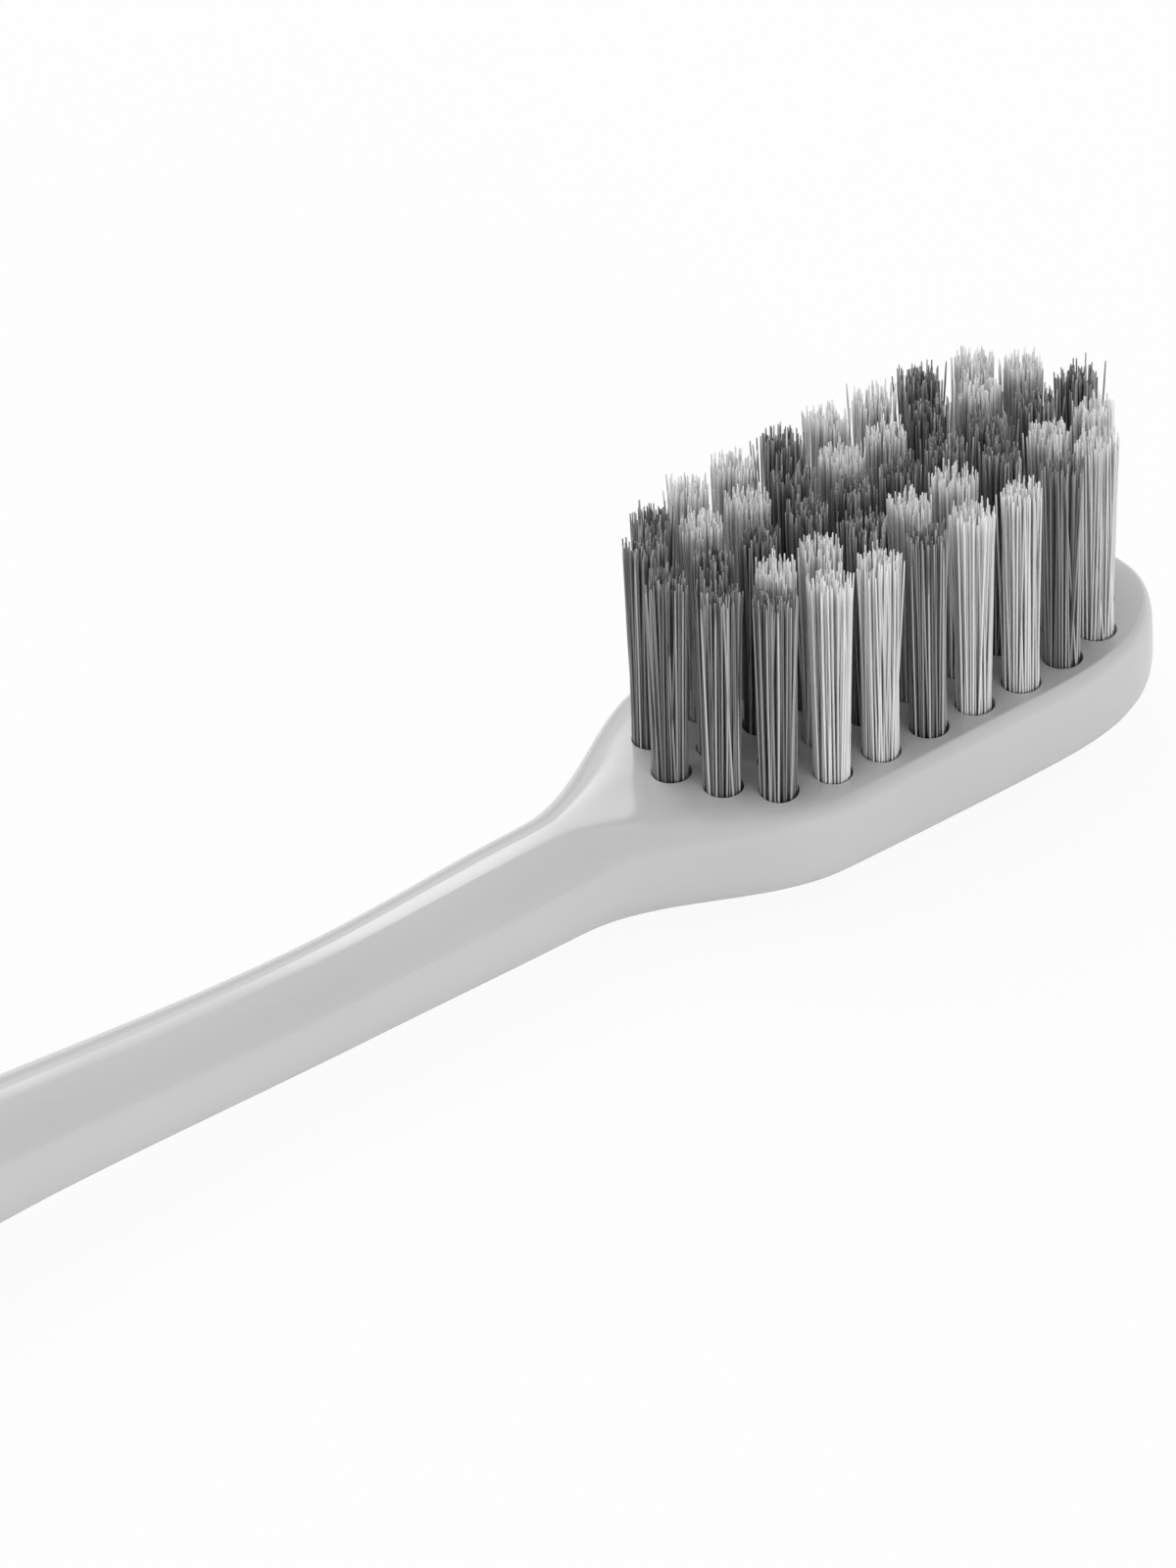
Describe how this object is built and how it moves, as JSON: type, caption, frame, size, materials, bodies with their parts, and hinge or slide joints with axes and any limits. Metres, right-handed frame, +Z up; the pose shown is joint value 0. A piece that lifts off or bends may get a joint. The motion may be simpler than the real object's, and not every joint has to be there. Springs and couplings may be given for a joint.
{
  "type": "manual toothbrush",
  "caption": "Manual toothbrush with a rounded flat-faced head, five rows of straight dark and light bristle tufts, a slim round neck and a gently waisted grip.",
  "frame": {"origin": "under the middle of the brush, on the surface that it lies on with the bristles up", "axes": "+X from the tail of the grip to the tip of the head, +Y across the head, +Z up, the way the bristles point"},
  "size_m": [0.19, 0.0128, 0.0156],
  "materials": {
    "handle_plastic": "glossy injection-moulded polypropylene, pale grey",
    "bristle_light": "smooth drawn nylon filament, near white",
    "bristle_dark": "smooth drawn nylon filament, dark grey",
    "anchor_metal": "cut brass strip"
  },
  "bodies": {
    "root": {"handle": "handle_plastic", "anchor_plates": "anchor_metal", "tuft_left_outer_1": "bristle_dark", "tuft_left_outer_2": "bristle_light", "tuft_left_outer_3": "bristle_light", "tuft_left_outer_4": "bristle_dark", "tuft_left_outer_5": "bristle_light", "tuft_left_outer_6": "bristle_light", "tuft_left_outer_7": "bristle_dark", "tuft_left_outer_8": "bristle_light", "tuft_left_inner_1": "bristle_dark", "tuft_left_inner_2": "bristle_light", "tuft_left_inner_3": "bristle_light", "tuft_left_inner_4": "bristle_dark", "tuft_left_inner_5": "bristle_light", "tuft_left_inner_6": "bristle_light", "tuft_left_inner_7": "bristle_dark", "tuft_left_inner_8": "bristle_light", "tuft_left_inner_9": "bristle_light", "tuft_middle_1": "bristle_dark", "tuft_middle_2": "bristle_dark", "tuft_middle_3": "bristle_dark", "tuft_middle_4": "bristle_dark", "tuft_middle_5": "bristle_dark", "tuft_middle_6": "bristle_dark", "tuft_middle_7": "bristle_dark", "tuft_middle_8": "bristle_dark", "tuft_middle_9": "bristle_dark", "tuft_middle_10": "bristle_dark", "tuft_right_inner_1": "bristle_dark", "tuft_right_inner_2": "bristle_light", "tuft_right_inner_3": "bristle_light", "tuft_right_inner_4": "bristle_dark", "tuft_right_inner_5": "bristle_light", "tuft_right_inner_6": "bristle_light", "tuft_right_inner_7": "bristle_dark", "tuft_right_inner_8": "bristle_light", "tuft_right_inner_9": "bristle_light", "tuft_right_outer_1": "bristle_dark", "tuft_right_outer_2": "bristle_light", "tuft_right_outer_3": "bristle_light", "tuft_right_outer_4": "bristle_dark", "tuft_right_outer_5": "bristle_light", "tuft_right_outer_6": "bristle_light", "tuft_right_outer_7": "bristle_dark", "tuft_right_outer_8": "bristle_light"}
  },
  "joints": []
}
